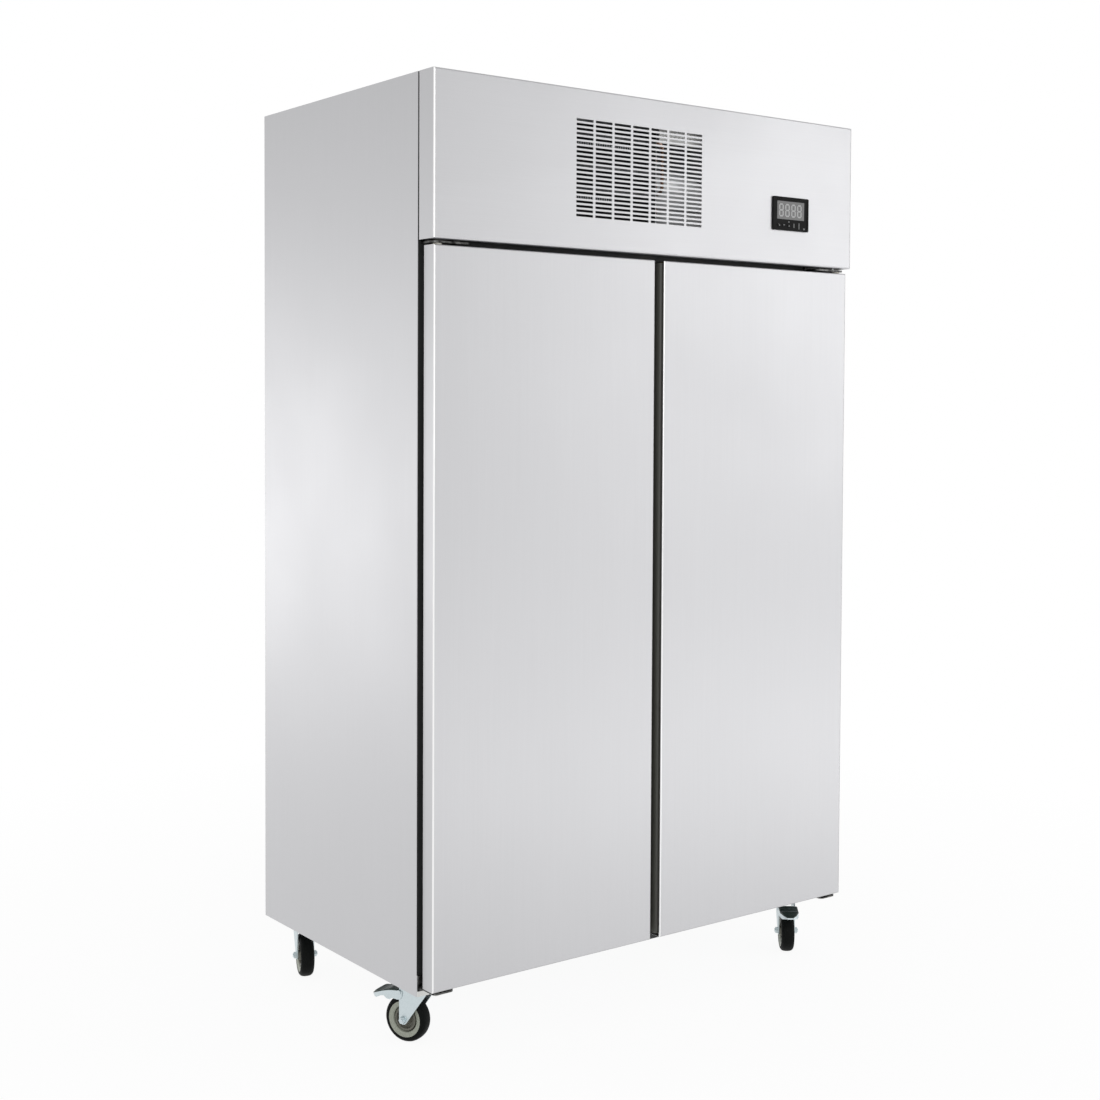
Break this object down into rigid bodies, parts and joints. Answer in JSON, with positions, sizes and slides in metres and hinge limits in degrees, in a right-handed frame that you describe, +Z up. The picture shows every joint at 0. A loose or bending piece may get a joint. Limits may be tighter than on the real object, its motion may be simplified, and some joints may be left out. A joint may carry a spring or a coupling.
{
  "type": "upright two-door refrigerator",
  "caption": "Tall stainless cabinet with full-height hinged doors, a header panel with a slotted grille and a controller, and swivel castors under it.",
  "frame": {"origin": "floor level, under the middle of the box that encloses the whole refrigerator", "axes": "+Z up, the doors and the controller face -Y, +X to the right of a person who faces the doors"},
  "size_m": [1.2, 0.74, 2.025],
  "materials": {
    "brushed_stainless": "brushed",
    "dark_plastic": "matte",
    "grip_plastic": "satin",
    "gasket_rubber": "matte",
    "foam": "matte",
    "galvanised_steel": "spangled",
    "black_fins": "matte",
    "aluminium_fins": "satin",
    "copper": "satin",
    "compressor_paint": "semi-gloss",
    "black_plastic": "matte",
    "bezel_plastic": "satin",
    "display_plastic": "gloss",
    "key_plastic": "satin",
    "nylon": "satin",
    "hinge_steel": "satin",
    "coated_wire": "satin",
    "zinc_steel": "zinc plated",
    "hub_plastic": "satin",
    "tyre_rubber": "matte",
    "tread_plastic": "satin"
  },
  "bodies": {
    "cabinet": {"side_panel_left": "brushed_stainless", "side_panel_right": "brushed_stainless", "back_panel": "galvanised_steel", "base_panel": "galvanised_steel", "deck_panel": "galvanised_steel", "insulation": "foam", "inner_liner": "brushed_stainless", "front_frame": "dark_plastic", "header_panel": "brushed_stainless", "roof_panel": "galvanised_steel", "condenser_fins": "black_fins", "condenser_shroud": "galvanised_steel", "compressor": "compressor_paint", "refrigerant_pipes": "copper", "electrical_box": "galvanised_steel", "mains_inlet": "black_plastic", "controller_case": "bezel_plastic", "display_window": "display_plastic", "evaporator_coil": "aluminium_fins", "evaporator_cover": "brushed_stainless", "fan_motors": "black_plastic", "shelf_supports": "brushed_stainless", "shelves": "coated_wire", "hinge_brackets": "hinge_steel", "hinge_pins": "hinge_steel", "castor_plates": "zinc_steel"},
    "condenser_fan": {"condenser_fan": "black_plastic"},
    "evaporator_fan_left": {"evaporator_fan_left": "black_plastic"},
    "evaporator_fan_right": {"evaporator_fan_right": "black_plastic"},
    "key_set": {"key_set": "key_plastic"},
    "key_down": {"key_down": "key_plastic"},
    "key_up": {"key_up": "key_plastic"},
    "door_left": {"door_left_skin": "brushed_stainless", "door_left_insulation": "foam", "door_left_pan": "brushed_stainless", "door_left_gasket": "gasket_rubber", "door_left_grip": "grip_plastic", "door_left_bushes": "nylon"},
    "door_right": {"door_right_skin": "brushed_stainless", "door_right_insulation": "foam", "door_right_pan": "brushed_stainless", "door_right_gasket": "gasket_rubber", "door_right_grip": "grip_plastic", "door_right_bushes": "nylon"},
    "castor_front_left": {"castor_front_left_fork": "zinc_steel"},
    "wheel_front_left": {"castor_front_left_hub": "hub_plastic", "castor_front_left_tyre": "tyre_rubber"},
    "brake_front_left": {"castor_front_left_lever": "zinc_steel", "castor_front_left_tread": "tread_plastic"},
    "castor_front_right": {"castor_front_right_fork": "zinc_steel"},
    "wheel_front_right": {"castor_front_right_hub": "hub_plastic", "castor_front_right_tyre": "tyre_rubber"},
    "brake_front_right": {"castor_front_right_lever": "zinc_steel", "castor_front_right_tread": "tread_plastic"},
    "castor_rear_left": {"castor_rear_left_fork": "zinc_steel"},
    "wheel_rear_left": {"castor_rear_left_hub": "hub_plastic", "castor_rear_left_tyre": "tyre_rubber"},
    "castor_rear_right": {"castor_rear_right_fork": "zinc_steel"},
    "wheel_rear_right": {"castor_rear_right_hub": "hub_plastic", "castor_rear_right_tyre": "tyre_rubber"}
  },
  "joints": [
    {"name": "condenser_fan_spin", "type": "hinge", "parent": "cabinet", "child": "condenser_fan", "pos_m": [-0.129, -0.178, 1.849], "axis": [0, 1, 0], "continuous": true},
    {"name": "evaporator_fan_left_spin", "type": "hinge", "parent": "cabinet", "child": "evaporator_fan_left", "pos_m": [-0.17, 0.0786, 1.5458], "axis": [0, 1, 0], "continuous": true},
    {"name": "evaporator_fan_right_spin", "type": "hinge", "parent": "cabinet", "child": "evaporator_fan_right", "pos_m": [0.17, 0.0786, 1.5458], "axis": [0, 1, 0], "continuous": true},
    {"name": "key_set_press", "type": "slide", "parent": "cabinet", "child": "key_set", "axis": [0, 1, 0], "range_m": [0, 0.0005], "stiffness_N_per_m": 400, "springref_m": -0.001},
    {"name": "key_down_press", "type": "slide", "parent": "cabinet", "child": "key_down", "axis": [0, 1, 0], "range_m": [0, 0.0005], "stiffness_N_per_m": 400, "springref_m": -0.001},
    {"name": "key_up_press", "type": "slide", "parent": "cabinet", "child": "key_up", "axis": [0, 1, 0], "range_m": [0, 0.0005], "stiffness_N_per_m": 400, "springref_m": -0.001},
    {"name": "door_left_hinge", "type": "hinge", "parent": "cabinet", "child": "door_left", "pos_m": [-0.575, -0.34, 0.915], "axis": [0, 0, -1], "range_deg": [0, 110]},
    {"name": "door_right_hinge", "type": "hinge", "parent": "cabinet", "child": "door_right", "pos_m": [0.575, -0.34, 0.915], "axis": [0, 0, 1], "range_deg": [0, 110]},
    {"name": "castor_front_left_swivel", "type": "hinge", "parent": "cabinet", "child": "castor_front_left", "pos_m": [-0.536, -0.228, 0.121], "axis": [0, 0, 1], "continuous": true},
    {"name": "wheel_front_left_roll", "type": "hinge", "parent": "castor_front_left", "child": "wheel_front_left", "pos_m": [-0.55134, -0.19654, 0.05], "axis": [-0.8988, -0.4384, 0], "continuous": true},
    {"name": "brake_front_left_press", "type": "hinge", "parent": "castor_front_left", "child": "brake_front_left", "pos_m": [-0.55573, -0.18755, 0.108], "axis": [-0.8988, -0.4384, 0], "range_deg": [-12, 0]},
    {"name": "castor_front_right_swivel", "type": "hinge", "parent": "cabinet", "child": "castor_front_right", "pos_m": [0.536, -0.228, 0.121], "axis": [0, 0, 1], "continuous": true},
    {"name": "wheel_front_right_roll", "type": "hinge", "parent": "castor_front_right", "child": "wheel_front_right", "pos_m": [0.51445, -0.25558, 0.05], "axis": [0.788, -0.6157, 0], "continuous": true},
    {"name": "brake_front_right_press", "type": "hinge", "parent": "castor_front_right", "child": "brake_front_right", "pos_m": [0.5083, -0.26346, 0.108], "axis": [0.788, -0.6157, 0], "range_deg": [0, 12]},
    {"name": "castor_rear_left_swivel", "type": "hinge", "parent": "cabinet", "child": "castor_rear_left", "pos_m": [-0.526, 0.32, 0.121], "axis": [0, 0, 1], "continuous": true},
    {"name": "wheel_rear_left_roll", "type": "hinge", "parent": "castor_rear_left", "child": "wheel_rear_left", "pos_m": [-0.53757, 0.28697, 0.05], "axis": [0.9438, -0.3305, 0], "continuous": true},
    {"name": "castor_rear_right_swivel", "type": "hinge", "parent": "cabinet", "child": "castor_rear_right", "pos_m": [0.526, 0.32, 0.121], "axis": [0, 0, 1], "continuous": true},
    {"name": "wheel_rear_right_roll", "type": "hinge", "parent": "castor_rear_right", "child": "wheel_rear_right", "pos_m": [0.52113, 0.28534, 0.05], "axis": [0.9903, -0.1392, 0], "continuous": true}
  ]
}
